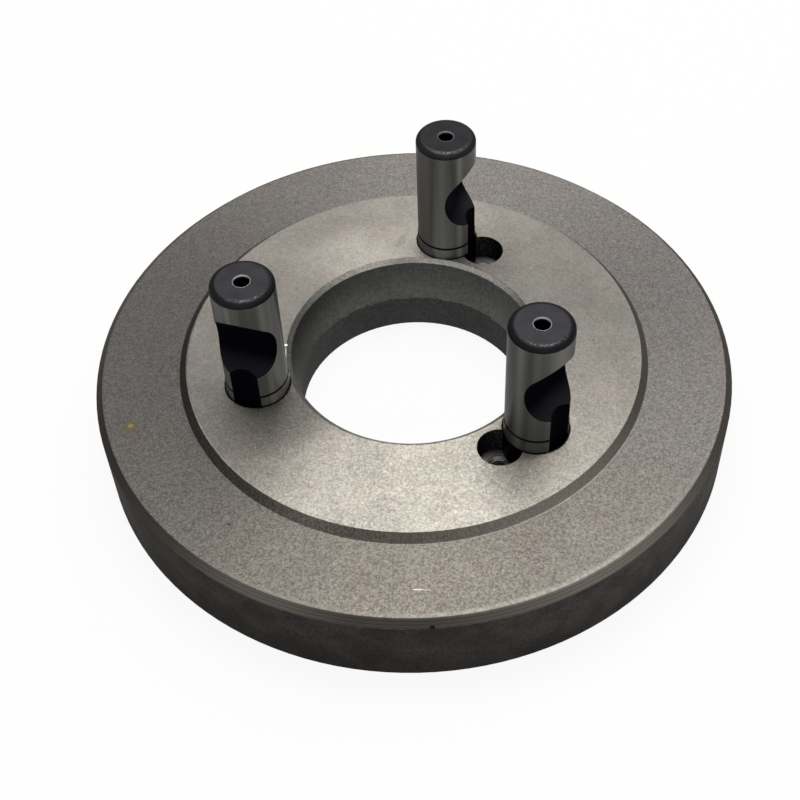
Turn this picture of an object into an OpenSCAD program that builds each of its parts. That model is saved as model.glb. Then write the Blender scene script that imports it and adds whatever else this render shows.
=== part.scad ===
// Chuck adapter plate for a short-taper cam-lock spindle nose.
// A turned disc with a raised boss, a tapered bore and three screwed-in cam-lock studs.
// The disc lies on its chuck side, with its axis on Z and the studs standing up.

/* [Disc] */
// Outer diameter of the disc
rim_d = 164.6; // [156:0.2:190]
// Thickness of the disc outside the boss
rim_thick = 21.4; // [20:0.1:30]
// Chamfer round the upper edge of the rim
rim_chamfer = 1.8; // [0.5:0.1:3]
// Small chamfer round the lower edge of the rim
rim_edge_break = 0.4; // [0.2:0.1:1.5]

/* [Boss] */
// Diameter of the boss at its face
boss_d = 117.7; // [112:0.1:126]
// Height of the boss above the disc
boss_h = 2.1; // [1:0.1:5]
// Run of the boss's sloping wall, from its face down to the disc
boss_wall_run = 1.9; // [0.5:0.1:4]

/* [Bore] */
// Diameter of the spindle taper at its wide end
taper_d = 63.7; // [62.4:0.1:63.8]
// Half angle of the spindle taper
taper_angle = 7.125; // [5:0.125:10]
// Diameter of the straight bore that the taper runs into
bore_d = 60.7; // [59:0.1:62]
// Width of the chamfer at the bore's mouth
mouth_chamfer_w = 1.2; // [0.4:0.1:1.2]
// Depth of the chamfer at the bore's mouth
mouth_chamfer_h = 1; // [0.4:0.1:2]
// Chamfer at the bore's lower end
bore_chamfer = 0.4; // [0.2:0.1:2]

/* [Stud circle] */
// Diameter of the circle that the stud axes lie on
stud_circle_d = 82.55; // [82.5:0.05:88]
// Angle of the back stud round the disc's axis, in degrees
stud_phase = 76.4; // [0:0.1:120]

/* [Stud holes] */
// Gap all round a stud's shank in its hole
shank_clearance = 0.1; // [0.05:0.01:0.14]
// Depth of the hole that takes a stud's shank
shank_hole_depth = 9.4; // [9:0.1:11]
// Depth of the tapped hole below the boss face, down to its drill point
tapped_depth = 18; // [17.6:0.1:19]
// Gap all round a stud's thread in its tapped hole
thread_clearance = 0.05; // [0.03:0.01:0.1]
// Full angle of a drill's point
drill_point = 118; // [100:1:140]

/* [Lock screw holes] */
// Distance from a stud's axis to its lock screw's axis
lock_offset = 10.93; // [10.5:0.01:12]
// Direction from a stud to its lock screw, clockwise from straight outwards
lock_turn = 103.3; // [90:0.1:110]
// Diameter of the hole that takes the lock screw's head
lock_head_hole_d = 11.3; // [10.6:0.1:12]
// Depth of the hole that takes the lock screw's head
lock_head_hole_depth = 7.6; // [6:0.1:9]
// Diameter of the tapped hole for the lock screw
lock_tap_d = 5; // [4:0.1:6]
// Depth of that tapped hole below the head's hole, down to its drill point
lock_tap_depth = 9; // [6:0.5:11]
// Width of the chamfer at that tapped hole's mouth
lock_tap_chamfer = 0.7; // [0.2:0.1:1.2]

/* [Cam studs] */
// Diameter of a stud above its reference ring
stud_d = 15.8; // [15:0.1:15.9]
// Diameter of a stud's shank, from the ring down
shank_d = 16.1; // [15.9:0.05:16.2]
// Radius round a stud's free end
end_round = 1.6; // [0.5:0.1:2.5]
// Distance from the free end to the reference ring
ring_from_end = 32.6; // [32:0.1:34]
// Width of the reference ring
ring_w = 0.5; // [0.3:0.05:0.8]
// Depth of the reference ring, measured from the stud's side
ring_depth = 0.35; // [0.2:0.05:0.6]
// Distance from the free end to the shank's shoulder
shoulder_from_end = 44.6; // [44.2:0.1:45]
// Diameter of the thread on a stud's tail
thread_d = 9.9; // [9:0.1:10.2]
// Length of the tail below the shoulder
tail_len = 8.4; // [7.5:0.1:8.8]
// Diameter of the relief between shoulder and thread
relief_d = 8.6; // [7.5:0.1:8.8]
// Length of that relief
relief_len = 1.5; // [1:0.1:2.5]
// Chamfer at the tail's tip
tail_chamfer = 0.8; // [0.3:0.1:1.2]
// Diameter of the centre hole in a stud's free end
centre_hole_d = 3.3; // [2.5:0.1:3.8]
// Depth of the centre hole
centre_hole_depth = 5; // [3:0.5:8]
// Diameter of the countersink round the centre hole
centre_sink_d = 4.2; // [4:0.1:6]

/* [Cam notch] */
// Distance from the free end to the axis of the notch's arc
notch_from_end = 17.6; // [16.5:0.1:18.5]
// Radius of the notch's arc
notch_r = 9.4; // [8.5:0.1:10]
// Distance from the stud's axis to the deepest point of the notch
notch_reach = 1.7; // [1:0.1:3]
// Slope of the cam face, which rises outwards from the arc
cam_face_slope = 49; // [40:1:54]
// Distance by which the cam face lies inside the arc
cam_face_inset = 0.03; // [0.02:0.01:0.1]
// Diameter of the lock screw's head, which the flute clears
lock_head_d = 10; // [9.5:0.1:10.4]
// Gap between the lock screw's head and the flute
flute_clearance = 0.4; // [0.2:0.05:0.5]

/* [Studs as set] */
// Height of the back stud above the boss face
back_stand = 36.3; // [36:0.1:37]
// Turn of the back stud's notch from straight outwards
back_turn = -93.3; // [-180:0.1:180]
// Height of the left stud above the boss face
left_stand = 36.2; // [36:0.1:37]
// Turn of the left stud's notch from straight outwards
left_turn = 56.4; // [-180:0.1:180]
// Height of the right stud above the boss face
right_stand = 36.9; // [36:0.1:37]
// Turn of the right stud's notch from straight outwards
right_turn = 0.5; // [-180:0.1:180]

/* [Hidden] */
$fn = 120;
// Length by which a cutter passes the surface that it cuts
pass = 1;
// The three studs stand evenly round the disc
stud_step = 120;
back_angle = stud_phase;
left_angle = stud_phase + stud_step;
right_angle = stud_phase - stud_step;
// Radii and levels of the disc
rim_r = rim_d / 2;
boss_r = boss_d / 2;
taper_r = taper_d / 2;
bore_r = bore_d / 2;
stud_circle_r = stud_circle_d / 2;
face_z = rim_thick + boss_h;
taper_top_z = face_z - mouth_chamfer_h;
taper_end_z = taper_top_z - (taper_r - bore_r) / tan(taper_angle);
// Radii and levels of a stud, seen from its free end at zero
stud_r = stud_d / 2;
shank_r = shank_d / 2;
thread_r = thread_d / 2;
relief_r = relief_d / 2;
tail_from_end = shoulder_from_end + tail_len;
notch_axis_x = notch_reach + notch_r;
flute_r = lock_head_d / 2 + flute_clearance;
sink_depth = (centre_sink_d - centre_hole_d) / 2 / tan(30);

iron = [0.43, 0.42, 0.40];
steel = [0.62, 0.61, 0.59];

// Height of the cone that a drill's point leaves under a hole of radius r
function drill_cone(r) = r / tan(drill_point / 2);

// The disc's section, from the bore outwards and back over the boss
module disc_section() {
    polygon([
        [bore_r + bore_chamfer, 0],
        [rim_r - rim_edge_break, 0],
        [rim_r, rim_edge_break],
        [rim_r, rim_thick - rim_chamfer],
        [rim_r - rim_chamfer, rim_thick],
        [boss_r + boss_wall_run, rim_thick],
        [boss_r, face_z],
        [taper_r + mouth_chamfer_w, face_z],
        [taper_r, taper_top_z],
        [bore_r, taper_end_z],
        [bore_r, bore_chamfer]
    ]);
}

// A drilled hole of radius r that ends in a drill point, with its mouth at zero
module drilled_hole(r, depth) {
    translate([0, 0, -depth])
        cylinder(r = r, h = depth + pass);
    translate([0, 0, -depth - drill_cone(r)])
        cylinder(r1 = 0, r2 = r, h = drill_cone(r));
}

// The stepped hole that a stud screws into
module stud_hole() {
    translate([0, 0, -shank_hole_depth])
        cylinder(r = shank_r + shank_clearance, h = shank_hole_depth + pass);
    drilled_hole(thread_r + thread_clearance, tapped_depth);
}

// The counterbored and tapped hole for a lock screw
module lock_screw_hole() {
    translate([0, 0, -lock_head_hole_depth]) {
        cylinder(d = lock_head_hole_d, h = lock_head_hole_depth + pass);
        drilled_hole(lock_tap_d / 2, lock_tap_depth);
        translate([0, 0, -lock_tap_chamfer])
            cylinder(d1 = lock_tap_d, d2 = lock_tap_d + 2 * lock_tap_chamfer, h = lock_tap_chamfer);
    }
}

// Puts its children on a stud's axis, at the boss face, with X pointing straight outwards
module at_stud(angle) {
    rotate(angle)
        translate([stud_circle_r, 0, face_z])
            children();
}

module adapter_plate() {
    color(iron)
        difference() {
            rotate_extrude()
                disc_section();
            for (angle = [back_angle, left_angle, right_angle])
                at_stud(angle) {
                    stud_hole();
                    rotate(-lock_turn)
                        translate([lock_offset, 0, 0])
                            lock_screw_hole();
                }
        }
}

// A stud's section: body, reference ring, shank, relief and threaded tail
module stud_section() {
    polygon([
        [0, 0],
        [stud_r, 0],
        [stud_r, -ring_from_end],
        [stud_r - ring_depth, -ring_from_end],
        [stud_r - ring_depth, -ring_from_end - ring_w],
        [shank_r, -ring_from_end - ring_w],
        [shank_r, -shoulder_from_end],
        [relief_r, -shoulder_from_end],
        [relief_r, -shoulder_from_end - relief_len],
        [thread_r, -shoulder_from_end - relief_len - (thread_r - relief_r)],
        [thread_r, -tail_from_end + tail_chamfer],
        [thread_r - tail_chamfer, -tail_from_end],
        [0, -tail_from_end]
    ]);
}

// What the rounding takes off the sharp edge of a stud's free end
module end_corner() {
    difference() {
        translate([0, 0, -end_round])
            cylinder(r = stud_r + pass, h = end_round + pass);
        translate([0, 0, -end_round - pass])
            cylinder(r = stud_r - end_round, h = end_round + 3 * pass);
        rotate_extrude()
            translate([stud_r - end_round, -end_round])
                circle(r = end_round);
    }
}

// The hooked notch: an arc across the stud, and the cam face that leaves it outwards and upwards
module cam_notch() {
    translate([notch_axis_x, 0, -notch_from_end])
        rotate([90, 0, 0]) {
            cylinder(r = notch_r, h = shank_d + 2 * pass, center = true);
            linear_extrude(height = shank_d + 2 * pass, center = true)
                rotate(cam_face_slope)
                    square([stud_d, notch_r - cam_face_inset]);
        }
}

// The flute that the lock screw's head sits in, from the notch down through the shoulder
module lock_flute() {
    translate([lock_offset, 0, -shoulder_from_end - pass])
        cylinder(r = flute_r, h = shoulder_from_end + pass - notch_from_end);
}

// The centre hole that the stud was turned and ground on
module centre_hole() {
    translate([0, 0, -centre_hole_depth])
        cylinder(d = centre_hole_d, h = centre_hole_depth + pass);
    translate([0, 0, -centre_hole_depth - drill_cone(centre_hole_d / 2)])
        cylinder(r1 = 0, d2 = centre_hole_d, h = drill_cone(centre_hole_d / 2));
    translate([0, 0, -sink_depth])
        cylinder(d1 = centre_hole_d, d2 = centre_sink_d, h = sink_depth);
}

// One cam-lock stud, standing out of the boss face, with its notch turned from straight outwards
module cam_stud(angle, stand, turn) {
    color(steel)
        at_stud(angle)
            translate([0, 0, stand])
                rotate(turn)
                    difference() {
                        rotate_extrude()
                            stud_section();
                        end_corner();
                        cam_notch();
                        lock_flute();
                        centre_hole();
                    }
}

adapter_plate();
cam_stud(back_angle, back_stand, back_turn);  // cam_stud_back
cam_stud(left_angle, left_stand, left_turn);  // cam_stud_left
cam_stud(right_angle, right_stand, right_turn);  // cam_stud_right
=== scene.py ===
import bpy
import math
from mathutils import Matrix, Vector


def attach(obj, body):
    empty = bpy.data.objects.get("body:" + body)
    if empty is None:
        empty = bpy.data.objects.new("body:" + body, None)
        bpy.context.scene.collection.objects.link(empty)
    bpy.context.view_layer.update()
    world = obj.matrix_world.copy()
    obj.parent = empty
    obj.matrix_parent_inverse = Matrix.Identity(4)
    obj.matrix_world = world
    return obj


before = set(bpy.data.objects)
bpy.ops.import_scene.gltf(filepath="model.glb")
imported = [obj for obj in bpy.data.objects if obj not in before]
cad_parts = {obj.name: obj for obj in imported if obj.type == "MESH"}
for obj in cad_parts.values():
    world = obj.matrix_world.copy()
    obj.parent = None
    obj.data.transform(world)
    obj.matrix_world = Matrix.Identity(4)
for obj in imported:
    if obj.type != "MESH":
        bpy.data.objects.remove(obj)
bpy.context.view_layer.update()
print("frame loaded:", ", ".join(sorted(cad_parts)))

scene = bpy.context.scene
scene.view_settings.view_transform = "Standard"
mm = 0.001

# where the solids' edges lie, in millimetres and degrees, for the looks that follow them
plateShape = {
    "rimRadius": 82.3, "rimTop": 21.4, "edgeBreak": 0.4,
    "chamferStart": 80.5, "chamferFoot": 19.6,  # its radius on the rim and its height on the side
    "bossRadius": 58.85, "bossTop": 23.5, "bossFoot": 60.75,  # the boss's wall slopes out to its foot
    "mouthRadius": 33.05, "taperRadius": 31.85, "taperTop": 22.5, "taperEnd": 10.5,
    "studCircle": 41.275, "firstStud": 76.4, "seatRadius": 8.05,
    "screwOffset": 10.93, "screwTurn": 103.3, "screwHeadRadius": 5.65, "screwFloor": 15.9,
    "screwCoreRadius": 2.5, "screwCoreChamfer": 0.7,
}
studShape = {
    "radius": 7.9, "endRound": 1.6, "ringFromEnd": 32.6, "ringWidth": 0.5, "sinkRadius": 2.1,
    "places": {  # node: thirds of a turn from the first stud, height above the boss face
        "cam_stud_back": (0, 36.3),
        "cam_stud_left": (1, 36.2),
        "cam_stud_right": (-1, 36.9),
    },
}

# camera, as the photograph was taken
cameraSetup = {
    "elevation": 47.864, "roll": -1.373, "lens": 62.22, "shift": (-0.03978, -0.04938),
    "place": (0.00469, -0.2440, 0.28716),
}
cameraData = bpy.data.cameras.new("photoCamera")
cameraData.sensor_width = 36
cameraData.lens = cameraSetup["lens"]
cameraData.shift_x, cameraData.shift_y = cameraSetup["shift"]
cameraData.clip_start = 0.01
camera = bpy.data.objects.new("photoCamera", cameraData)
scene.collection.objects.link(camera)
tilt = Matrix.Rotation(math.radians(90 - cameraSetup["elevation"]), 4, "X")
roll = Matrix.Rotation(math.radians(cameraSetup["roll"]), 4, "Z")
camera.matrix_world = Matrix.Translation(cameraSetup["place"]) @ tilt @ roll
scene.camera = camera
print("stage: camera set")


class NodeHand:
    # adds nodes to one tree; most calls return the new node's result socket

    def __init__(self, tree):
        self.tree = tree

    def add(self, kind, **settings):
        made = self.tree.nodes.new(kind)
        for name, value in settings.items():
            setattr(made, name, value)
        return made

    def feed(self, socket, value):
        if isinstance(value, bpy.types.NodeSocket):
            self.tree.links.new(value, socket)
        else:
            socket.default_value = value

    def calc(self, operation, *values, clamp=False):
        made = self.add("ShaderNodeMath", operation=operation, use_clamp=clamp)
        for socket, value in zip(made.inputs, values):
            self.feed(socket, value)
        return made.outputs[0]

    def times(self, first, second):
        return self.calc("MULTIPLY", first, second)

    def minus(self, first, second):
        return self.calc("SUBTRACT", first, second)

    def offFrom(self, value, middle):
        return self.calc("ABSOLUTE", self.minus(value, middle))

    def vector(self, operation, *values):
        made = self.add("ShaderNodeVectorMath", operation=operation)
        for socket, value in zip(made.inputs, values):
            self.feed(socket, value)
        return made.outputs[0]

    def parts(self, vector):
        made = self.add("ShaderNodeSeparateXYZ")
        self.feed(made.inputs[0], vector)
        return made.outputs

    def joined(self, x=0.0, y=0.0, z=0.0):
        made = self.add("ShaderNodeCombineXYZ")
        for socket, value in zip(made.inputs, (x, y, z)):
            self.feed(socket, value)
        return made.outputs[0]

    def length(self, *sides):
        total = self.times(sides[0], sides[0])
        for side in sides[1:]:
            total = self.calc("MULTIPLY_ADD", side, side, total)
        return self.calc("SQRT", total)

    def ramp(self, value, low, high, start=0.0, end=1.0):
        made = self.add("ShaderNodeMapRange", clamp=True, interpolation_type="SMOOTHSTEP")
        given = {"Value": value, "From Min": low, "From Max": high, "To Min": start, "To Max": end}
        for name, setting in given.items():
            self.feed(made.inputs[name], setting)
        return made.outputs["Result"]

    def spread(self, value, amount, low=0.0, high=1.0):
        # a factor that runs from 1 - amount to 1 + amount
        return self.ramp(value, low, high, 1 - amount, 1 + amount)

    def noise(self, vector, scale, detail=3.0, roughness=0.5):
        made = self.add("ShaderNodeTexNoise")
        given = {"Vector": vector, "Scale": scale, "Detail": detail, "Roughness": roughness}
        for name, setting in given.items():
            self.feed(made.inputs[name], setting)
        return made.outputs["Fac"]

    def tint(self, factor, first, second, blend="MIX"):
        made = self.add("ShaderNodeMix", data_type="RGBA", blend_type=blend)
        for place, value in ((0, factor), (6, first), (7, second)):
            self.feed(made.inputs[place], value)
        return made.outputs[2]

    def between(self, factor, first, second):
        made = self.add("ShaderNodeMix", data_type="FLOAT")
        for place, value in ((0, factor), (2, first), (3, second)):
            self.feed(made.inputs[place], value)
        return made.outputs[0]

    def scaled(self, colour, factor):
        made = self.add("ShaderNodeVectorMath", operation="SCALE")
        self.feed(made.inputs[0], colour if isinstance(colour, bpy.types.NodeSocket) else colour[:3])
        self.feed(made.inputs["Scale"], factor)
        return made.outputs[0]

    def use(self, group, **values):
        made = self.add("ShaderNodeGroup")
        made.node_tree = group
        for name, value in values.items():
            self.feed(made.inputs[name], value)
        return made.outputs


number, vector3 = "NodeSocketFloat", "NodeSocketVector"


def newGroup(name, inputs, outputs):
    # a shader group with named sockets, and the hand, inputs and outputs to wire it with
    group = bpy.data.node_groups.new(name, "ShaderNodeTree")
    for label, kind, value in inputs:
        socket = group.interface.new_socket(name=label, in_out="INPUT", socket_type=kind)
        if value is not None:
            socket.default_value = value
    for label, kind in outputs:
        group.interface.new_socket(name=label, in_out="OUTPUT", socket_type=kind)
    hand = NodeHand(group)
    return group, hand, hand.add("NodeGroupInput").outputs, hand.add("NodeGroupOutput").inputs


def makeRoundPlace():
    # millimetres from an upright axis, along it, and degrees round it
    group, hand, given, result = newGroup(
        "roundPlace", [("Place", vector3, None)],
        [("Radius", number), ("Height", number), ("Around", number)])
    x, y, z = hand.parts(given["Place"])
    hand.feed(result["Radius"], hand.length(x, y))
    hand.feed(result["Height"], z)
    hand.feed(result["Around"], hand.calc("DEGREES", hand.calc("ARCTAN2", y, x)))
    return group


grainRule = {  # the coarser patterns' scale against the specks' own, a shift that sets two apart, and between which sums of specks and coarser grain pores and bright flecks for painted glints fade in
    # between which sums of specks and coarser grain pores and flecks fade in
    "coarse": 0.4, "mottle": 0.33, "shift": (37.0, -12.0, 5.0),
    "pores": (0.78, 0.66), "glintFlecks": (1.22, 1.34),
}


def makeIronGrain():
    # grain of machined grey iron: specks, a coarser mottle, dark pores, bright flecks that serve as
    # painted glints, soft blotches, warm and cool patches, and a relief
    group, hand, given, result = newGroup(
        "ironGrain",
        [("Place", vector3, None), ("Grain Size", number, 0.6), ("Blotch Size", number, 6.0)],
        [("Specks", number), ("Mottle", number), ("Pores", number), ("Glint Flecks", number),
         ("Blotches", number), ("Warmth", number), ("Height", number)])
    fine = hand.calc("DIVIDE", 1.0, given["Grain Size"])
    broad = hand.calc("DIVIDE", 1.0, given["Blotch Size"])
    specks = hand.noise(given["Place"], fine, 2.0, 0.6)
    coarse = hand.noise(given["Place"], hand.times(fine, grainRule["coarse"]), 2.0, 0.5)
    shifted = hand.vector("ADD", given["Place"], grainRule["shift"])
    mottle = hand.noise(shifted, hand.times(fine, grainRule["mottle"]), 3.0, 0.7)
    hand.feed(result["Specks"], hand.ramp(specks, 0.3, 0.7))
    hand.feed(result["Mottle"], hand.ramp(mottle, 0.32, 0.68))
    both = hand.calc("ADD", specks, coarse)
    hand.feed(result["Pores"], hand.ramp(both, *grainRule["pores"]))
    hand.feed(result["Glint Flecks"], hand.ramp(both, *grainRule["glintFlecks"]))
    hand.feed(result["Blotches"], hand.ramp(hand.noise(given["Place"], broad, 4.0, 0.6), 0.3, 0.7))
    hand.feed(result["Warmth"], hand.ramp(hand.noise(shifted, broad, 3.0, 0.7), 0.35, 0.65))
    hand.feed(result["Height"], hand.between(0.4, specks, coarse))
    return group


def makeToolMarks():
    # fine rings that a turning or grinding tool leaves, broken by the metal's own grain
    group, hand, given, result = newGroup(
        "toolMarks",
        [("Place", vector3, None), ("Across", number, 0.0), ("Pitch", number, 0.25),
         ("Break Up", number, 0.5)],
        [("Lines", number)])
    lines = hand.noise(hand.joined(hand.calc("DIVIDE", given["Across"], given["Pitch"])), 1.0, 2.0, 0.6)
    patches = hand.noise(given["Place"], 0.35, 3.0, 0.6)
    broken = hand.times(given["Break Up"], hand.ramp(patches, 0.35, 0.65))
    hand.feed(result["Lines"], hand.between(broken, lines, 0.5))
    return group


def makeEdgeWearAndLight():
    # a line along a round edge at one radius and height, used for rubbed wear and for painted highlights
    # and shade; Ragged says how far noise breaks it up
    group, hand, given, result = newGroup(
        "edgeWearAndLight",
        [("Place", vector3, None), ("Radius", number, 0.0), ("Height", number, 0.0),
         ("Edge Radius", number, 1.0), ("Edge Height", number, 1.0), ("Width", number, 0.3),
         ("Line Strength", number, 0.6), ("Ragged", number, 1.0)],
        [("Mask", number)])
    across = hand.minus(given["Radius"], given["Edge Radius"])
    along = hand.minus(given["Height"], given["Edge Height"])
    near = hand.ramp(hand.length(across, along), given["Width"], 0.0)
    ragged = hand.ramp(hand.noise(given["Place"], 0.8, 4.0, 0.65), 0.42, 0.62)
    ragged = hand.between(given["Ragged"], 1.0, ragged)
    lineMask = hand.times(near, ragged)
    hand.feed(result["Mask"], hand.calc("MULTIPLY", given["Line Strength"], lineMask, clamp=True))
    return group


def makeSpotMask():
    # one small mark: a ragged ellipse, turned and placed on the part
    group, hand, given, result = newGroup(
        "spotMask",
        [("Place", vector3, None), ("Centre", vector3, None), ("Turn", number, 0.0),
         ("Long", number, 1.0), ("Wide", number, 1.0), ("Ragged", number, 0.3)],
        [("Mask", number)])
    turned = hand.add("ShaderNodeVectorRotate", rotation_type="Z_AXIS")
    hand.feed(turned.inputs["Vector"], hand.vector("SUBTRACT", given["Place"], given["Centre"]))
    hand.feed(turned.inputs["Angle"], hand.calc("RADIANS", hand.times(given["Turn"], -1.0)))
    x, y, z = hand.parts(turned.outputs[0])
    far = hand.length(
        hand.calc("DIVIDE", x, given["Long"]), hand.calc("DIVIDE", y, given["Wide"]),
        hand.calc("DIVIDE", z, given["Long"]))
    uneven = hand.minus(hand.noise(given["Place"], 1.6, 3.0, 0.6), 0.5)
    far = hand.calc("MULTIPLY_ADD", hand.times(given["Ragged"], uneven), 2.0, far)
    hand.feed(result["Mask"], hand.ramp(far, 1.0, 0.55))
    return group


def makeThreeFold():
    # distance from the nearest of three points spaced evenly round the disc
    group, hand, given, result = newGroup(
        "threeFold",
        [("Radius", number, 0.0), ("Around", number, 0.0), ("Reach", number, 40.0),
         ("First", number, 0.0)],
        [("Distance", number)])
    turn = hand.calc("WRAP", hand.minus(given["Around"], given["First"]), 60.0, -60.0)
    turn = hand.calc("RADIANS", turn)
    along = hand.minus(hand.times(given["Radius"], hand.calc("COSINE", turn)), given["Reach"])
    aside = hand.times(given["Radius"], hand.calc("SINE", turn))
    hand.feed(result["Distance"], hand.length(along, aside))
    return group


def makeToneSwell():
    # lightens or darkens a tone around one direction of the disc
    group, hand, given, result = newGroup(
        "toneSwell",
        [("Tone", number, 1.0), ("Around", number, 0.0), ("Centre", number, 0.0), ("Half", number, 60.0),
         ("Amount", number, 0.2)],
        [("Tone", number)])
    turn = hand.calc("WRAP", hand.minus(given["Around"], given["Centre"]), 180.0, -180.0)
    swell = hand.ramp(hand.calc("ABSOLUTE", turn), given["Half"], 0.0)
    hand.feed(result["Tone"], hand.calc("MULTIPLY_ADD", swell, given["Amount"], given["Tone"]))
    return group


roundPlace = makeRoundPlace()
ironGrain = makeIronGrain()
toolMarks = makeToolMarks()
edgeWearAndLight = makeEdgeWearAndLight()
spotMask = makeSpotMask()
threeFold = makeThreeFold()
toneSwell = makeToneSwell()
print("stage: shared finishes made")


def toolLines(hand, place, across, pitch, breakUp):
    # the rings that a tool leaves across one distance
    return hand.use(toolMarks, **{
        "Place": place, "Across": across, "Pitch": pitch, "Break Up": breakUp})[0]


def toneToward(hand, around, centre, half, amount=1.0, start=0.0):
    # a value that swells from its start around one direction
    return hand.use(toneSwell, Tone=start, Around=around, Centre=centre, Half=half, Amount=amount)[0]


def newFinish(name, look):
    # a material with one Principled shader; returns it, its hand and the shader's inputs
    material = bpy.data.materials.new(name)
    material.use_nodes = True
    tree = material.node_tree
    tree.nodes.clear()
    hand = NodeHand(tree)
    shader = hand.add("ShaderNodeBsdfPrincipled")
    for label in ("Metallic", "Specular IOR Level", "Specular Tint", "Anisotropic"):
        if label in look:
            shader.inputs[label].default_value = look[label]
    output = hand.add("ShaderNodeOutputMaterial")
    tree.links.new(shader.outputs[0], output.inputs["Surface"])
    return material, hand, shader.inputs


def placeIn(hand, centre=(0, 0, 0)):
    # object coordinates in millimetres, from a centre given in millimetres
    moved = hand.add("ShaderNodeMapping", vector_type="POINT")
    coordinates = hand.add("ShaderNodeTexCoord")
    hand.feed(moved.inputs["Vector"], coordinates.outputs["Object"])
    moved.inputs["Scale"].default_value = (1 / mm, 1 / mm, 1 / mm)
    moved.inputs["Location"].default_value = tuple(-c for c in centre)
    return moved.outputs[0]


def acrossTurning(hand, place):
    # the direction in the surface that crosses the rings left by turning
    axes = hand.parts(place)
    along = hand.joined(hand.times(axes["Y"], -1.0), axes["X"])
    return hand.vector("CROSS_PRODUCT", hand.add("ShaderNodeNewGeometry").outputs["Normal"], along)


def addRelief(hand, shader, height, distance):
    bump = hand.add("ShaderNodeBump")
    bump.inputs["Strength"].default_value = 1.0
    bump.inputs["Distance"].default_value = distance
    hand.feed(bump.inputs["Height"], height)
    hand.feed(shader["Normal"], bump.outputs[0])
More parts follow.
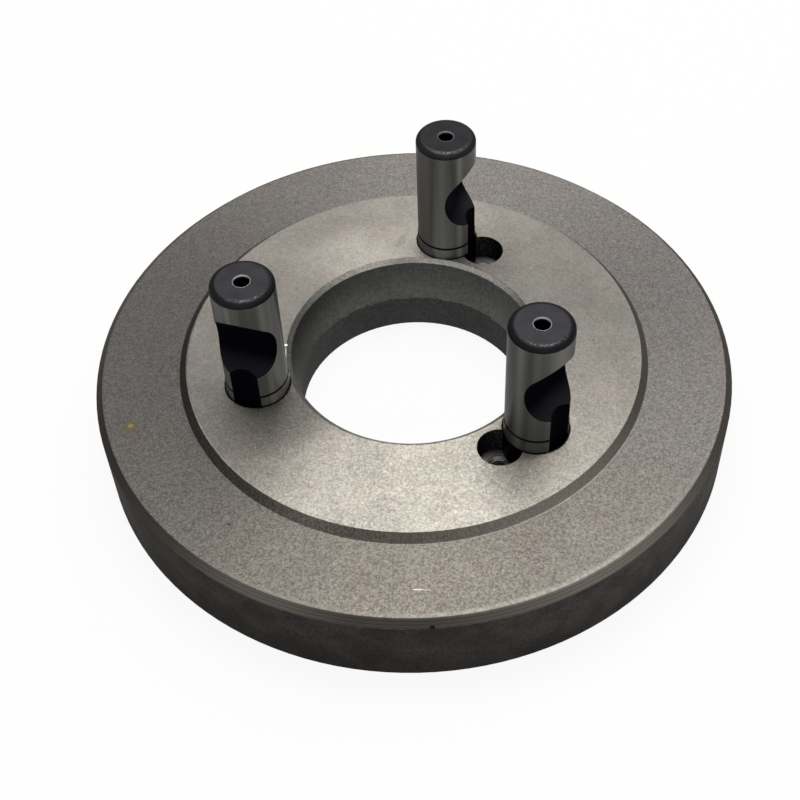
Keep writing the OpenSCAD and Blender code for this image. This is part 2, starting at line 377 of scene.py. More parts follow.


# plate: grey cast iron, turned on the faces, darker in the bore, and darker on the step, chamfer and side
# as painted shade
rimTop, bossTop = plateShape["rimTop"], plateShape["bossTop"]
plateLook = {
    "Metallic": 0.85, "Specular IOR Level": 0.3, "Specular Tint": (0.6, 0.6, 0.6, 1), "Anisotropic": 0.85,
    "rim": (0.1405, 0.132, 0.120, 1), "boss": (0.221, 0.213, 0.195, 1),
    "front": 270, "frontHalf": 110,  # the direction in which the faces' grain and painted glint flecks are plainest, where the painted highlight lies, in degrees
    "rimAway": (0.955, 0.972, 1.047, 1), "rimFar": 0.75,  # tint and strength of the grain away from it: a painted cooler cast and fainter grain where the warm highlight doesn't fall
    "bossAway": (0.995, 0.984, 1.0, 1), "bossFar": 0.50,
    "rimSpecks": 0.34, "rimMottle": 0.045, "rimBlotch": 0.03,
    "bossSpecks": 0.27, "bossMottle": 0.07, "bossBlotch": 0.07,
    "grainSize": 0.54, "rimBlotchSize": 8.0, "bossBlotchSize": 10.0,
    "poreDepth": 0.35, "poreTone": 0.3, "glintFleckDepth": 0.5, "glintFleckTone": 1.9,
    "warm": (1.025, 0.99, 0.98, 1), "cool": (0.985, 1.005, 0.985, 1),
    "rimRough": 0.50, "bossRough": 0.42, "wallRough": 0.62, "unevenGloss": 0.05,
    "rimGrain": 0.035, "bossGrain": 0.014, "turning": 0.003,  # relief, in millimetres
    "turningPitch": 0.3, "cutPitch": 0.28, "holeRingPitch": 0.34, "markRagged": 0.35,
    "grime": 0.22, "boreSpecks": 0.16, "boreMottle": 0.10, "cutStreaks": 0.4,
    # the step's, chamfer's and side's dark tones are painted shade on walls turned away from the lamps
    "step": (0.0575, 0.0525, 0.0465, 1), "mouth": (0.172, 0.168, 0.157, 1),
    "taper": (0.125, 0.129, 0.118, 1), "bore": (0.063, 0.063, 0.062, 1),
    "chamfer": (0.0468, 0.0427, 0.0386, 1), "side": (0.0365, 0.0338, 0.0310, 1),
    "sideFoot": 0.66, "sideRise": 13.0,  # how light the side is at its foot, and how far up that reaches
    "under": (0.120, 0.117, 0.110, 1),
    # the dark ring round each stud and the near-black hole walls are painted shade
    "gap": 0.50, "gapShade": (0.006, 0.006, 0.006, 1),
    "holeWall": (0.012, 0.012, 0.012, 1), "holeWallTones": (0.6, 3.5), "holeFloor": (0.42, 0.41, 0.39, 1),
    "paintedLight": {  # painted light and shade round the disc, by zone: directions and half widths in degrees, and how much lighter or darker it is there
        "rim": [(150, 75, -0.32), (345, 95, 0.32)],
        "boss": [(110, 80, -0.25), (50, 35, -0.15), (195, 35, -0.11), (300, 50, 0.30), (240, 25, 0.12)],
        "step": [(180, 80, -0.65), (243, 16, 0.6), (262, 32, 0.45), (302, 44, 1.65)],
        "mouth": [(85, 75, 1.8), (75, 360, -0.55), (92, 19, -0.8), (50, 45, 0.3)],
        "taper": [(172, 65, -0.5)],
        "chamfer": [(200, 30, -0.35), (243, 20, 1.05), (304, 36, 1.6)],
        "side": [(310, 55, 0.4)],
    },
    "edges": [  # lines along round edges, the pale ones rubbed wear and painted highlight, the dark ones painted shade: circle, height, how far inside the circle, width, strength, raggedness, direction and half width in degrees (720 goes all round), colour
        # width, wear, raggedness, direction and half width in degrees (720 goes all round), colour
        ("bossRadius", "bossTop", 0.0, 0.28, 0.5, 1.0, 290, 140, (0.34, 0.33, 0.31, 1)),
        ("bossRadius", "bossTop", 0.0, 0.70, 1.6, 0.3, 150, 55, (0.014, 0.013, 0.012, 1)),
        ("bossRadius", "bossTop", 0.1, 0.4, 1.0, 0.6, 215, 22, (0.33, 0.325, 0.305, 1)),
        ("bossFoot", "rimTop", 0.0, 0.35, 1.2, 0.5, 306, 55, (0.30, 0.29, 0.275, 1)),
        ("chamferStart", "rimTop", 0.0, 0.25, 0.5, 1.0, 0, 720, (0.018, 0.017, 0.016, 1)),
        ("chamferStart", "rimTop", 0.5, 1.1, 1.2, 0.6, 298, 48, (0.27, 0.26, 0.238, 1)),
        ("chamferStart", "rimTop", 0.5, 0.9, 0.7, 0.6, 248, 24, (0.20, 0.19, 0.172, 1)),
        ("chamferStart", "rimTop", 0.0, 0.60, 1.2, 0.3, 110, 90, (0.022, 0.021, 0.020, 1)),
        ("mouthRadius", "bossTop", 0.0, 0.26, 0.9, 0.8, 0, 720, (0.055, 0.053, 0.050, 1)),
        ("taperRadius", "taperTop", 0.0, 0.16, 0.9, 1.0, 0, 720, (0.020, 0.020, 0.019, 1)),
        ("rimRadius", "chamferFoot", 0.0, 0.25, 0.5, 1.0, 0, 720, (0.11, 0.10, 0.09, 1)),
        ("rimRadius", "edgeBreak", 0.0, 0.4, 0.4, 1.0, 0, 720, (0.08, 0.075, 0.07, 1)),
    ],
    "marks": [  # centre in millimetres, turn in degrees, length, width, strength, colour
        ((-70.9, -23.3, rimTop), 20, 2.4, 2.1, 0.75, (0.135, 0.105, 0.045, 1)),
        ((-70.9, -23.1, rimTop), 10, 0.95, 0.75, 0.8, (0.27, 0.235, 0.115, 1)),
        ((-70.4, -25.8, rimTop), -50, 3.4, 1.6, 0.40, (0.15, 0.108, 0.095, 1)),
        ((-3.0, 40.0, bossTop), 70, 3.4, 1.4, 0.35, (0.12, 0.105, 0.075, 1)),
        ((-9.5, 41.5, bossTop), 20, 4.5, 2.2, 0.16, (0.13, 0.115, 0.085, 1)),
        ((-22.9, 42.7, bossTop), -30, 6.0, 2.0, 0.18, (0.13, 0.120, 0.095, 1)),
        ((-52.0, 7.0, bossTop), 75, 8.0, 2.6, 0.20, (0.12, 0.112, 0.095, 1)),
        ((-51.5, -16.0, bossTop), -60, 7.0, 3.0, 0.22, (0.14, 0.128, 0.100, 1)),
        ((47.4, 14.8, bossTop), 60, 5.0, 2.2, 0.14, (0.13, 0.125, 0.105, 1)),
        ((0.4, -73.1, rimTop), -2, 1.6, 0.24, 1.0, (0.40, 0.385, 0.36, 1)),
        ((2.2, -73.2, rimTop), -4, 1.7, 0.17, 0.7, (0.34, 0.325, 0.30, 1)),
        ((3.4, -82.2, 20.1), 0, 0.9, 0.7, 1.0, (0.008, 0.007, 0.007, 1)),
        ((63.1, -52.2, rimTop), 4, 0.9, 0.25, 1.0, (0.02, 0.018, 0.016, 1)),
        ((-43.9, -53.9, rimTop), 0, 0.42, 0.40, 0.8, (0.015, 0.013, 0.012, 1)),
        # a painted glint of light on the lip beside the left stud
        ((-33.17, 1.2, bossTop), 0, 0.55, 0.50, 1.0, (1.0, 0.99, 0.97, 1)),
    ],
    # direction and half width in degrees, swell, and (where it isn't 0) the value away from it
    "stepSpecks": (235, 90, 0.55, 0.25),
    "taperTopShade": (155, 60, -0.32, 0.68), "taperFoot": 1.1,  # how light the taper's two ends are, with painted shade at its top under the mouth
    "bossPaintedLight": (112, 30, 0.44), "paintedLightRadii": (52, 41),  # painted light: a lighter stretch beside the bore at the back
    "brightArc": {  # a painted highlight along the lip: direction, half width and fade in degrees, then millimetres
        "middle": 188.3, "half": 9.5, "fade": 2.5, "outside": 0.05, "width": 0.14,
        "colour": (0.75, 0.74, 0.72, 1),
    },
}


def screwPlace():
    # how far from the middle the lock screws stand, and how far round from their stud
    shape = plateShape
    turn = math.radians(shape["screwTurn"])
    along = shape["studCircle"] + shape["screwOffset"] * math.cos(turn)
    aside = -shape["screwOffset"] * math.sin(turn)
    return math.hypot(along, aside), math.degrees(math.atan2(aside, along))


def swollen(hand, zone, colour, around):
    # a zone's colour, with painted light and shade round the disc
    tone = 1.0
    for centre, half, amount in plateLook["paintedLight"][zone]:
        tone = toneToward(hand, around, centre, half, amount, tone)
    return hand.scaled(colour, tone)


def facedColour(hand, grain, zone, around):
    # a turned face: its tone with painted light and shade round the disc, warm and cool patches, specks
    # and painted glint flecks that are plainest in front where the painted highlight lies, a painted
    # cooler cast away from it, mottle, pores
    look = plateLook
    inFront = toneToward(hand, around, look["front"], look["frontHalf"])
    patch = hand.tint(1.0, hand.tint(grain["Warmth"], look["warm"], look["cool"]),
                      hand.tint(inFront, look[zone + "Away"], (1, 1, 1, 1)), "MULTIPLY")
    strength = hand.between(inFront, look[zone + "Far"], 1.0)
    speck = hand.times(hand.minus(grain["Specks"], 0.5), 2 * look[zone + "Specks"])
    mottle = hand.times(hand.minus(grain["Mottle"], 0.5), 2 * look[zone + "Mottle"])
    blotch = hand.minus(grain["Blotches"], 0.5)
    blotch = hand.calc("MULTIPLY_ADD", blotch, 2 * look[zone + "Blotch"], 1.0)
    speck = hand.calc("MULTIPLY_ADD", hand.calc("ADD", speck, mottle), strength, blotch)
    tone = swollen(hand, zone, look[zone], around)
    colour = hand.scaled(hand.tint(1.0, patch, tone, "MULTIPLY"), speck)
    glintFlecks = hand.times(hand.times(grain["Glint Flecks"], look["glintFleckDepth"]), strength)
    colour = hand.tint(glintFlecks, colour, hand.scaled(tone, look["glintFleckTone"]))
    pores = hand.times(grain["Pores"], look["poreDepth"])
    return hand.tint(pores, colour, hand.scaled(tone, look["poreTone"]))


def paintHoles(hand, place, grain, colour, radius, height, around):
    # the screw holes' walls, painted near black as shade, and their turned floors, and a thin dark ring
    # of painted shade in the gap round each stud
    look, shape = plateLook, plateShape
    reach, swing = screwPlace()
    fromScrew = hand.use(
        threeFold, Radius=radius, Around=around, Reach=reach, First=shape["firstStud"] + swing)[0]
    rings = toolLines(hand, place, fromScrew, look["holeRingPitch"], breakUp=0.4)
    inHole = hand.times(
        hand.ramp(fromScrew, shape["screwHeadRadius"] + 0.05, shape["screwHeadRadius"]),
        hand.ramp(height, bossTop - 0.02, bossTop - 0.10))
    wall = hand.scaled(look["holeWall"], hand.ramp(grain["Specks"], 0.3, 0.9, *look["holeWallTones"]))
    colour = hand.tint(inHole, colour, wall)
    onFloor = hand.times(
        hand.ramp(fromScrew, shape["screwHeadRadius"] - 0.05, shape["screwHeadRadius"] - 0.3),
        hand.ramp(height, shape["screwFloor"] + 0.2, shape["screwFloor"] + 0.02))
    ringed = hand.times(onFloor, hand.ramp(rings, 0.40, 0.62, 0.10, 1.0))
    colour = hand.tint(ringed, colour, look["holeFloor"])
    fromStud = hand.use(
        threeFold, Radius=radius, Around=around, Reach=shape["studCircle"], First=shape["firstStud"])[0]
    ragged = hand.minus(hand.noise(place, 1.8, 3.0, 0.6), 0.5)
    fromStud = hand.calc("MULTIPLY_ADD", ragged, 0.5, fromStud)
    gapEdge = shape["seatRadius"] + look["gap"]
    gap = hand.times(
        hand.ramp(fromStud, gapEdge + 0.05, gapEdge - 0.05),
        hand.ramp(height, bossTop - 0.05, bossTop - 0.01))
    return hand.tint(gap, colour, look["gapShade"])


def paintBore(hand, place, grain, colour, radius, height, around):
    # mouth chamfer, ground taper with painted shade towards its top, both with painted light and shade
    # round the disc, and the darker bore under a ragged line
    look, shape = plateLook, plateShape
    inMouth = hand.ramp(radius, shape["mouthRadius"] + 0.02, shape["mouthRadius"] - 0.04)
    soft = hand.times(
        hand.spread(grain["Specks"], look["boreSpecks"]),
        hand.spread(grain["Mottle"], look["boreMottle"]))
    colour = hand.tint(inMouth, colour, hand.scaled(swollen(hand, "mouth", look["mouth"], around), soft))
    inside = hand.ramp(radius, shape["taperRadius"] + 0.08, shape["taperRadius"] + 0.02)
    inTaper = hand.times(
        inside, hand.ramp(height, shape["taperTop"] + 0.05, shape["taperTop"] - 0.05))
    lip = toneToward(hand, around, *look["taperTopShade"])
    shade = hand.ramp(height, shape["taperEnd"], shape["taperTop"], look["taperFoot"], lip)
    taper = hand.scaled(swollen(hand, "taper", look["taper"], around), hand.times(soft, shade))
    colour = hand.tint(inTaper, colour, taper)
    uneven = hand.minus(hand.noise(place, 0.6, 4.0, 0.7), 0.5)
    edge = hand.calc("MULTIPLY_ADD", uneven, 3.0, height)
    inBore = hand.times(
        inside, hand.ramp(edge, shape["taperEnd"] + 0.2, shape["taperEnd"] - 0.2))
    return hand.tint(inBore, colour, hand.scaled(look["bore"], soft))


def paintArc(hand, colour, radius, height, around):
    # light caught on the polished lip beside the left stud
    arc = plateLook["brightArc"]
    turn = hand.calc("ABSOLUTE", hand.calc("WRAP", hand.minus(around, arc["middle"]), 180.0, -180.0))
    fromLip = hand.offFrom(radius, plateShape["mouthRadius"] + arc["outside"])
    line = hand.ramp(fromLip, arc["width"], 0.04)
    mask = hand.times(line, hand.ramp(turn, arc["half"], arc["half"] - arc["fade"]))
    mask = hand.times(mask, hand.ramp(height, bossTop - 0.2, bossTop - 0.05))
    return hand.tint(mask, colour, arc["colour"])


def outerZones(hand, radius, height):
    # masks of the zones outside the bore; the rim is what they leave
    shape = plateShape
    return {
        "step": hand.ramp(radius, shape["bossFoot"] + 0.03, shape["bossFoot"] - 0.03),
        "boss": hand.times(
            hand.ramp(radius, shape["bossRadius"] + 0.05, shape["bossRadius"]),
            hand.ramp(height, bossTop - 0.10, bossTop - 0.04)),
        "chamfer": hand.ramp(radius, shape["chamferStart"], shape["chamferStart"] + 0.08),
        "side": hand.ramp(radius, shape["rimRadius"] - 0.08, shape["rimRadius"] - 0.03),
    }


def paintFaces(hand, rimGrain, bossGrain, zones, radius, around):
    # the turned rim and boss, with painted light beside the bore at the back, and the sloping step
    # between them
    look = plateLook
    speckled = toneToward(hand, around, *look["stepSpecks"])
    stepGrain = hand.calc("MULTIPLY_ADD", hand.minus(rimGrain["Specks"], 0.5), speckled, 1.0)
    step = hand.scaled(swollen(hand, "step", look["step"], around), stepGrain)
    colour = hand.tint(zones["step"], facedColour(hand, rimGrain, "rim", around), step)
    lit = toneToward(hand, around, *look["bossPaintedLight"])
    lit = hand.calc("MULTIPLY_ADD", lit, hand.ramp(radius, *look["paintedLightRadii"]), 1.0)
    boss = hand.scaled(facedColour(hand, bossGrain, "boss", around), lit)
    return hand.tint(zones["boss"], colour, boss)


def paintOuterWall(hand, place, stained, colour, zones, height, around):
    # the rim's chamfer with its cut rings, and the grimy side below it, darker towards its foot; their
    # dark tones are painted shade
    look = plateLook
    cuts = toolLines(hand, place, height, look["cutPitch"], breakUp=0.2)
    streaks = hand.spread(cuts, look["cutStreaks"], 0.3, 0.7)
    chamfer = hand.scaled(swollen(hand, "chamfer", look["chamfer"], around), streaks)
    colour = hand.tint(zones["chamfer"], colour, chamfer)
    wallTone = hand.times(stained, hand.ramp(height, 0.0, look["sideRise"], look["sideFoot"], 1.0))
    side = hand.scaled(swollen(hand, "side", look["side"], around), wallTone)
    return hand.tint(zones["side"], colour, side)


def paintEdges(hand, place, colour, radius, height, around):
    # lines along the round edges: pale ones of rubbed wear and painted highlight, dark ones of painted
    # shade
    shape = plateShape
    for circle, level, inside, width, lineStrength, ragged, direction, half, tone in plateLook["edges"]:
        wearAndPaintedLight = hand.use(edgeWearAndLight, **{
            "Place": place, "Radius": radius, "Height": height, "Edge Radius": shape[circle] - inside,
            "Edge Height": shape[level], "Width": width, "Ragged": ragged,
            "Line Strength": toneToward(hand, around, direction, half, lineStrength)})[0]
        colour = hand.tint(wearAndPaintedLight, colour, tone)
    return colour


def paintMarks(hand, place, colour):
    # rust, stains, nicks and scratches, and a painted glint
    for centre, turn, long, wide, strength, tone in plateLook["marks"]:
        mark = hand.use(
            spotMask, Place=place, Centre=centre, Turn=turn, Long=long, Wide=wide,
            Ragged=plateLook["markRagged"])[0]
        colour = hand.tint(hand.times(mark, strength), colour, tone)
    return colour


def makePlateFinish():
    # the plate's colour, with painted light and shade, goes on zone by zone, then come edge lines of
    # wear, painted highlight and painted shade, and marks, gloss and relief
    look = plateLook
    material, hand, shader = newFinish("turnedCastIron", look)
    place = placeIn(hand)
    radius, height, around = hand.use(roundPlace, Place=place)
    rimGrain = hand.use(ironGrain, **{
        "Place": place, "Grain Size": look["grainSize"], "Blotch Size": look["rimBlotchSize"]})
    bossGrain = hand.use(ironGrain, **{
        "Place": place, "Grain Size": look["grainSize"], "Blotch Size": look["bossBlotchSize"]})
    stained = hand.times(
        hand.spread(rimGrain["Specks"], look["grime"]), hand.spread(rimGrain["Blotches"], look["grime"]))
    zones = outerZones(hand, radius, height)

    colour = paintFaces(hand, rimGrain, bossGrain, zones, radius, around)
    colour = paintOuterWall(hand, place, stained, colour, zones, height, around)
    colour = paintBore(hand, place, rimGrain, colour, radius, height, around)
    colour = paintHoles(hand, place, rimGrain, colour, radius, height, around)
    colour = hand.tint(hand.ramp(height, 0.3, 0.02), colour, hand.scaled(look["under"], stained))
    colour = paintEdges(hand, place, colour, radius, height, around)
    colour = paintArc(hand, colour, radius, height, around)
    hand.feed(shader["Base Color"], paintMarks(hand, place, colour))

    rough = hand.between(zones["step"], look["rimRough"], look["wallRough"])
    rough = hand.between(zones["boss"], rough, look["bossRough"])
    rough = hand.between(zones["chamfer"], rough, look["wallRough"])
    uneven = hand.minus(rimGrain["Blotches"], 0.5)
    hand.feed(shader["Roughness"], hand.calc("MULTIPLY_ADD", uneven, look["unevenGloss"], rough))
    hand.feed(shader["Tangent"], acrossTurning(hand, place))
    turning = toolLines(hand, place, radius, look["turningPitch"], breakUp=0.3)
    grainRelief = hand.between(
        zones["boss"], hand.times(rimGrain["Height"], look["rimGrain"]),
        hand.times(bossGrain["Height"], look["bossGrain"]))
    addRelief(hand, shader, hand.calc("MULTIPLY_ADD", turning, look["turning"], grainRelief), mm)
    return material


# studs: ground steel, blackened at the end, in the notch and in the flute, with painted shade below the
# boss face and painted light on the notch's ledge
studLook = {
    "Specular IOR Level": 0.25, "Specular Tint": (0.6, 0.6, 0.6, 1), "Anisotropic": 0.8,
    "metal": 0.45, "steel": (0.114, 0.1135, 0.105, 1), "steelRough": 0.36, "streaks": 0.10,
    "grainSize": 0.4, "blotchSize": 4.0, "grindingPitch": 0.15, "grindStreaks": 0.07, "unevenGloss": 0.06,
    "collar": (0.118, 0.116, 0.106, 1), "ring": (0.006, 0.006, 0.006, 1),
    "blackEnd": (0.0212, 0.0208, 0.0244, 1), "dullEnd": (0.0163, 0.0163, 0.0186, 1), "endRough": 0.42,
    "rounding": (0.012, 0.0116, 0.0124, 1), "wearAndPaintedLight": (0.13, 0.127, 0.13, 1),
    "blackOxideAndShade": (0.0026, 0.0022, 0.0040, 1), "litLedge": (0.017, 0.016, 0.020, 1), "notchRough": 0.7,
    "sink": (0.36, 0.355, 0.35, 1),
    "endWearAndHighlight": {"outside": 0.35, "width": 0.75, "lineStrength": 0.5, "fineness": 2.2},
    "front": -85.0, "frontHalf": 75.0,  # where the rubbed marks, partly painted highlight, lie on the end, in degrees
    "bump": 0.006,  # relief, in millimetres
    "paintedEndTones": {  # node: painted light and shade, as how light its flat end, its rounding and the ring at its centre hole are
        "cam_stud_back": (0.87, 1.8, 0.5),
        "cam_stud_left": (1.15, 1.25, 0.95),
        "cam_stud_right": (1.15, 1.15, 0.9),
    },
    # painted light and shade at each stud's foot: darker on the right stud, lighter on the left
    "footShading": {"cam_stud_back": 1.0, "cam_stud_left": 1.25, "cam_stud_right": 0.78},
    "footHeight": 18.0,  # up to here above the boss face the steel's tone runs from its foot's to 1
    "reflectionBands": {  # node: painted reflections, as light and dark bands along the steel, by direction, half width and amount
        "cam_stud_back": [
            (-180, 25, -0.35), (-132, 30, 0.20), (-65, 11, 1.3), (-100, 25, 0.15), (-50, 30, 0.3)],
        "cam_stud_left": [
            (-168, 34, -0.66), (-115, 9, 0.45), (-90, 30, -0.15), (-55, 11, 0.65), (-42, 22, 0.2),
            (-14, 26, -0.5)],
        "cam_stud_right": [
            (-170, 42, -0.5), (-130, 15, 0.85), (-113, 9, -0.2), (-60, 26, 0.65), (-44, 14, 0.15)],
    },
}


def paintShank(hand, node, place, grinding, height, around, ringMid):
    # ground steel with painted reflections as light and dark bands, painted light and shade at its foot,
    # the collar's own tone, and the ring line
    look = studLook
    colour = hand.tint(hand.ramp(height, ringMid, ringMid - 0.1), look["steel"], look["collar"])
    streaks = hand.noise(hand.vector("MULTIPLY", place, (1.0, 1.0, 0.02)), 1.1, 3.0, 0.6)
    tone = hand.spread(streaks, look["streaks"], 0.3, 0.7)
    for centre, half, amount in look["reflectionBands"][node]:
        tone = toneToward(hand, around, centre, half, amount, tone)
    foot = hand.ramp(height, bossTop, bossTop + look["footHeight"], look["footShading"][node], 1.0)
    tone = hand.times(tone, foot)
    colour = hand.scaled(hand.scaled(colour, tone), hand.spread(grinding, look["grindStreaks"], 0.3, 0.7))
    halfRing = studShape["ringWidth"] / 2
    onRing = hand.ramp(hand.offFrom(height, ringMid), halfRing + 0.08, halfRing + 0.02)
    return hand.tint(onRing, colour, look["ring"])


def paintEnd(hand, node, place, grain, colour, onEnd, top, radius, height, around):
    # the blackened end: a darker rounding, a dull flat, broken bright marks of rubbed wear and painted
    # highlight, and the centre hole with a painted highlight on its countersink
    look, shape = studLook, studShape
    flatTone, roundTone, sinkTone = look["paintedEndTones"][node]
    colour = hand.tint(onEnd, colour, hand.scaled(look["rounding"], roundTone))
    flatEdge = shape["radius"] - shape["endRound"]
    flat = hand.ramp(radius, flatEdge + 0.25, flatEdge - 0.15)
    flat = hand.times(flat, hand.ramp(height, top - 0.3, top - 0.1))
    endColour = hand.scaled(hand.tint(grain["Blotches"], look["dullEnd"], look["blackEnd"]), flatTone)
    colour = hand.tint(flat, colour, endColour)
    line = look["endWearAndHighlight"]
    wearAndPaintedLight = hand.use(edgeWearAndLight, **{
        "Place": hand.scaled(place, line["fineness"]), "Radius": radius, "Height": height,
        "Edge Radius": flatEdge + line["outside"], "Edge Height": top - 0.1,
        "Width": line["width"], "Line Strength": line["lineStrength"]})[0]
    wearAndPaintedLight = hand.times(wearAndPaintedLight, toneToward(hand, around, look["front"], look["frontHalf"]))
    colour = hand.tint(wearAndPaintedLight, colour, look["wearAndPaintedLight"])
    # a painted highlight on the countersink ring round the centre hole
    sinkLight = hand.ramp(hand.offFrom(radius, shape["sinkRadius"] - 0.08), 0.16, 0.10)
    sinkLight = hand.times(sinkLight, hand.ramp(height, top - 0.5, top - 0.4))
    colour = hand.tint(sinkLight, colour, hand.scaled(look["sink"], sinkTone))
    inHole = hand.ramp(radius, shape["sinkRadius"] - 0.18, shape["sinkRadius"] - 0.26)
    return hand.tint(inHole, colour, look["blackOxideAndShade"])


def makeStudFinish(node, angle, stand):
    # one stud's steel, with its own painted reflection bands and painted light and shade tones, seen from
    # the stud's own axis
    look, shape = studLook, studShape
    material, hand, shader = newFinish("groundSteel" + node.rsplit("_", 1)[1].title(), look)
    radians = math.radians(angle)
    circle = plateShape["studCircle"]
    place = placeIn(hand, (circle * math.cos(radians), circle * math.sin(radians), 0))
    radius, height, around = hand.use(roundPlace, Place=place)
    grain = hand.use(ironGrain, **{
        "Place": place, "Grain Size": look["grainSize"], "Blotch Size": look["blotchSize"]})
    grinding = toolLines(hand, place, height, look["grindingPitch"], breakUp=0.35)
    top = bossTop + stand
    ringMid = top - shape["ringFromEnd"] - shape["ringWidth"] / 2
    endStart = top - shape["endRound"]
    uneven = hand.minus(hand.noise(place, 0.9, 3.0, 0.6), 0.5)
    onEnd = hand.ramp(hand.calc("MULTIPLY_ADD", uneven, 0.3, height), endStart - 0.06, endStart + 0.06)
    cutIn = hand.ramp(radius, shape["radius"] - 0.03, shape["radius"] - 0.08)
    seatShade = hand.ramp(height, bossTop + 0.05, bossTop - 0.10)

    colour = paintShank(hand, node, place, grinding, height, around, ringMid)
    # painted light: the notch's upward-facing ledge is lighter
    facing = hand.parts(hand.add("ShaderNodeNewGeometry").outputs["True Normal"])["Z"]
    notch = hand.tint(hand.ramp(facing, 0.35, 0.8), look["blackOxideAndShade"], look["litLedge"])
    colour = hand.tint(cutIn, colour, notch)
    # painted shade: the steel below the boss face is painted black
    colour = hand.tint(seatShade, colour, look["blackOxideAndShade"])
    colour = paintEnd(hand, node, place, grain, colour, onEnd, top, radius, height, around)
    hand.feed(shader["Base Color"], colour)

    blackAndShaded = hand.calc("MAXIMUM", hand.calc("MAXIMUM", cutIn, onEnd), seatShade)
    hand.feed(shader["Metallic"], hand.between(blackAndShaded, look["metal"], 1.0))
    rough = hand.between(cutIn, look["steelRough"], look["notchRough"])
    rough = hand.between(onEnd, rough, look["endRough"])
    uneven = hand.minus(grain["Specks"], 0.5)
    hand.feed(shader["Roughness"], hand.calc("MULTIPLY_ADD", uneven, look["unevenGloss"], rough))
    # Tangent takes nothing from a shader group, so this mask of the end reads the place itself
    atEnd = hand.ramp(hand.parts(place)["Z"], endStart - 0.06, endStart + 0.06)
    hand.feed(shader["Tangent"], hand.tint(atEnd, acrossTurning(hand, place), (0.0, 1.0, 0.0, 1.0)))
    addRelief(hand, shader, hand.between(onEnd, grinding, grain["Height"]), look["bump"] * mm)
    return material


def dress(node, material):
    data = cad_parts[node].data
    data.materials.clear()
    data.materials.append(material)


plateFinish = makePlateFinish()
dress("adapter_plate", plateFinish)
for node, (third, stand) in studShape["places"].items():
    dress(node, makeStudFinish(node, plateShape["firstStud"] + 120 * third, stand))
print("stage: plate and studs dressed")

# thread ridges in the three lock-screw holes, made once and set round the disc by Geometry Nodes
threadLook = {
    "Metallic": 0.85, "Specular IOR Level": 0.3,
    "pitch": 1.0, "turns": 8.0, "ridge": 0.30, "stepsATurn": 40, "sink": 0.14,
    "colour": (0.17, 0.165, 0.157, 1), "rough": 0.4, "grainSize": 0.3, "blotchSize": 2.0, "bump": 0.01,
}


def makeThreadFinish():
    look = threadLook
    material, hand, shader = newFinish("cutThread", look)
    grain = hand.use(ironGrain, **{
        "Place": placeIn(hand), "Grain Size": look["grainSize"], "Blotch Size": look["blotchSize"]})
    dull = tuple(0.5 * part for part in look["colour"][:3]) + (1,)
    hand.feed(shader["Base Color"], hand.tint(grain["Blotches"], look["colour"], dull))
    rough = hand.ramp(grain["Specks"], 0.0, 1.0, look["rough"], look["rough"] + 0.15)
    hand.feed(shader["Roughness"], rough)
    addRelief(hand, shader, grain["Height"], look["bump"] * mm)
    return material


def makeThreadTree():
    # a four-sided profile swept along a spiral, three times round the disc
    tree = bpy.data.node_groups.new("threadRidges", "GeometryNodeTree")
    for label, kind in (
            ("Core Radius", number), ("Pitch", number), ("Turns", number),
            ("Steps A Turn", "NodeSocketInt"), ("Ridge", number), ("Reach", number),
            ("First Angle", number), ("Bottom", number), ("Finish", "NodeSocketMaterial")):
        tree.interface.new_socket(name=label, in_out="INPUT", socket_type=kind)
    tree.interface.new_socket(name="Geometry", in_out="OUTPUT", socket_type="NodeSocketGeometry")
    hand = NodeHand(tree)
    given = hand.add("NodeGroupInput").outputs
    spiral = hand.add("GeometryNodeCurveSpiral")
    height = hand.times(given["Pitch"], given["Turns"])
    for name, value in (
            ("Resolution", given["Steps A Turn"]), ("Rotations", given["Turns"]),
            ("Start Radius", given["Core Radius"]), ("End Radius", given["Core Radius"]),
            ("Height", height)):
        hand.feed(spiral.inputs[name], value)
    profile = hand.add("GeometryNodeCurvePrimitiveCircle")
    profile.inputs["Resolution"].default_value = 4
    hand.feed(profile.inputs["Radius"], given["Ridge"])
    ridge = hand.add("GeometryNodeCurveToMesh")
    hand.feed(ridge.inputs["Curve"], spiral.outputs[0])
    hand.feed(ridge.inputs["Profile Curve"], profile.outputs[0])
    ridge.inputs["Fill Caps"].default_value = True
    places = hand.add("GeometryNodeMeshCircle")
    places.inputs["Vertices"].default_value = 3
    hand.feed(places.inputs["Radius"], given["Reach"])
    copies = hand.add("GeometryNodeInstanceOnPoints")
    hand.feed(copies.inputs["Points"], places.outputs[0])
    hand.feed(copies.inputs["Instance"], ridge.outputs[0])
    moved = hand.add("GeometryNodeTransform")
    hand.feed(moved.inputs["Geometry"], copies.outputs[0])
    hand.feed(moved.inputs["Translation"], hand.joined(0.0, 0.0, given["Bottom"]))
    hand.feed(moved.inputs["Rotation"], hand.joined(0.0, 0.0, given["First Angle"]))
    real = hand.add("GeometryNodeRealizeInstances")
    hand.feed(real.inputs[0], moved.outputs[0])
    finish = hand.add("GeometryNodeSetMaterial")
    hand.feed(finish.inputs["Geometry"], real.outputs[0])
    hand.feed(finish.inputs["Material"], given["Finish"])
    hand.tree.links.new(finish.outputs[0], hand.add("NodeGroupOutput").inputs[0])
    return tree


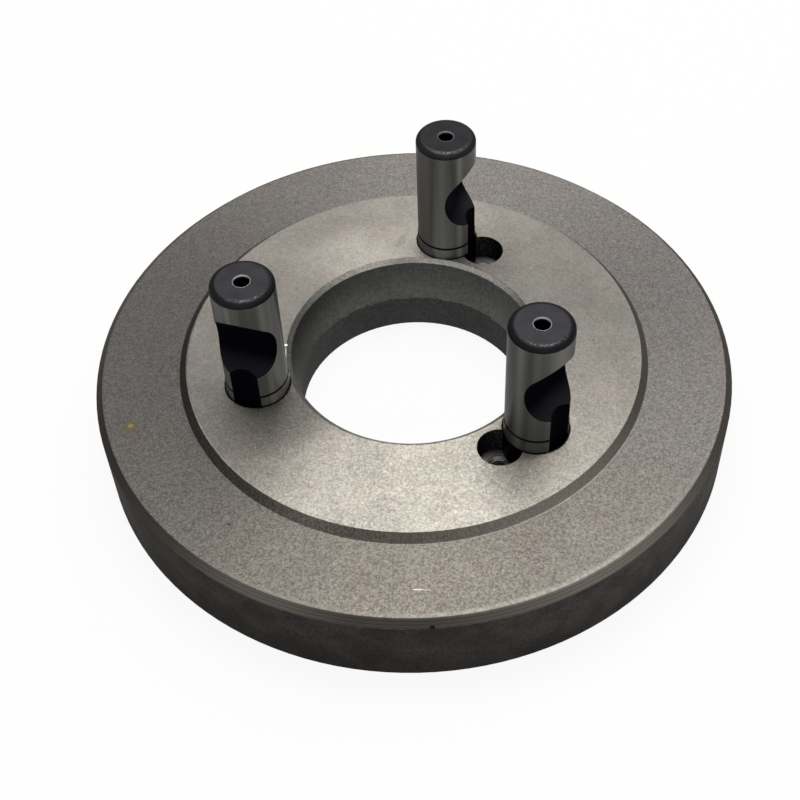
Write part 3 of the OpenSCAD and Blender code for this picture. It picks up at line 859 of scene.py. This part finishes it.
def makeThreads():
    look, shape = threadLook, plateShape
    reach, swing = screwPlace()
    tree = makeThreadTree()
    threads = bpy.data.objects.new("lock_screw_threads", bpy.data.meshes.new("threadStart"))
    scene.collection.objects.link(threads)
    modifier = threads.modifiers.new("threadRidges", "NODES")
    modifier.node_group = tree
    top = shape["screwFloor"] - shape["screwCoreChamfer"]
    values = {
        "Core Radius": (shape["screwCoreRadius"] - look["sink"] + look["ridge"] / 2) * mm,
        "Pitch": look["pitch"] * mm, "Turns": look["turns"], "Steps A Turn": look["stepsATurn"],
        "Ridge": look["ridge"] * mm, "Reach": reach * mm,
        "First Angle": math.radians(shape["firstStud"] + swing),
        "Bottom": (top - look["pitch"] * look["turns"]) * mm, "Finish": makeThreadFinish(),
    }
    for item in tree.interface.items_tree:
        if item.in_out == "INPUT":
            modifier[item.identifier] = values[item.name]
    whole = threads.evaluated_get(bpy.context.evaluated_depsgraph_get())
    threads.data = bpy.data.meshes.new_from_object(whole)
    threads.modifiers.clear()
    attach(threads, "root")


makeThreads()
print("stage: screw threads cut")

# floor, light and white surroundings
stageSetup = {
    "floorSize": 6.0, "floorGap": 0.0002,  # metres
    "floorColour": (0.86, 0.86, 0.86, 1), "floorShow": 0.92,
    "worldLight": 0.3, "lampDistance": 0.95, "lampColour": (1.0, 0.965, 0.91),
    "lamps": [  # name, degrees round, degrees up, width and height in metres, watts
        ("softLeft", 123, 71, (0.45, 0.22), 2.9),
        ("softTop", 92, 82, (0.22, 0.22), 1.9),
        ("softRight", 43, 69, (0.45, 0.22), 2.3),
        ("lowBack", 75, 50, (0.22, 0.22), 0.25),
        ("lowRight", 45, 45, (0.22, 0.22), 0.65),
        ("farRight", 20, 55, (0.22, 0.22), 0.35),
    ],
}


def makeFloor():
    size = stageSetup["floorSize"]
    corners = [(-size, -size, 0), (size, -size, 0), (size, size, 0), (-size, size, 0)]
    data = bpy.data.meshes.new("studioFloor")
    data.from_pydata(corners, [], [(0, 1, 2, 3)])
    floor = bpy.data.objects.new("studioFloor", data)
    scene.collection.objects.link(floor)
    floor.location.z = -stageSetup["floorGap"]
    material = bpy.data.materials.new("paleFloor")
    material.use_nodes = True
    material.node_tree.nodes.clear()
    hand = NodeHand(material.node_tree)
    diffuse = hand.add("ShaderNodeBsdfDiffuse")
    diffuse.inputs["Color"].default_value = stageSetup["floorColour"]
    glow = hand.add("ShaderNodeEmission")
    glow.inputs["Strength"].default_value = 1.0
    share = hand.times(seenDirectly(hand), stageSetup["floorShow"])
    blend = hand.add("ShaderNodeMixShader")
    hand.feed(blend.inputs[0], share)
    hand.tree.links.new(diffuse.outputs[0], blend.inputs[1])
    hand.tree.links.new(glow.outputs[0], blend.inputs[2])
    output = hand.add("ShaderNodeOutputMaterial")
    hand.tree.links.new(blend.outputs[0], output.inputs["Surface"])
    data.materials.append(material)


def seenDirectly(hand):
    # 1 for rays that come from the camera or leave a glossy or clear surface
    path = hand.add("ShaderNodeLightPath")
    seen = hand.calc("MAXIMUM", path.outputs["Is Camera Ray"], path.outputs["Is Glossy Ray"])
    return hand.calc("MAXIMUM", seen, path.outputs["Is Transmission Ray"])


def makeWorld():
    world = bpy.data.worlds.new("studioWorld")
    scene.world = world
    world.use_nodes = True
    world.node_tree.nodes.clear()
    hand = NodeHand(world.node_tree)
    background = hand.add("ShaderNodeBackground")
    background.inputs["Color"].default_value = (1, 1, 1, 1)
    light = hand.between(seenDirectly(hand), stageSetup["worldLight"], 1.0)
    hand.feed(background.inputs["Strength"], light)
    output = hand.add("ShaderNodeOutputWorld")
    hand.tree.links.new(background.outputs[0], output.inputs["Surface"])


def makeLamp(name, around, up, size, watts):
    data = bpy.data.lights.new(name, "AREA")
    data.shape = "RECTANGLE"
    data.size, data.size_y = size
    data.energy = watts
    data.color = stageSetup["lampColour"]
    lamp = bpy.data.objects.new(name, data)
    scene.collection.objects.link(lamp)
    around, up = math.radians(around), math.radians(up)
    away = Vector((math.cos(around) * math.cos(up), math.sin(around) * math.cos(up), math.sin(up)))
    lamp.location = away * stageSetup["lampDistance"] + Vector((0, 0, bossTop * mm))
    lamp.rotation_euler = away.to_track_quat("Z", "Y").to_euler()


makeFloor()
makeWorld()
for lamp in stageSetup["lamps"]:
    makeLamp(*lamp)
print("stage: floor, world and lamps made")
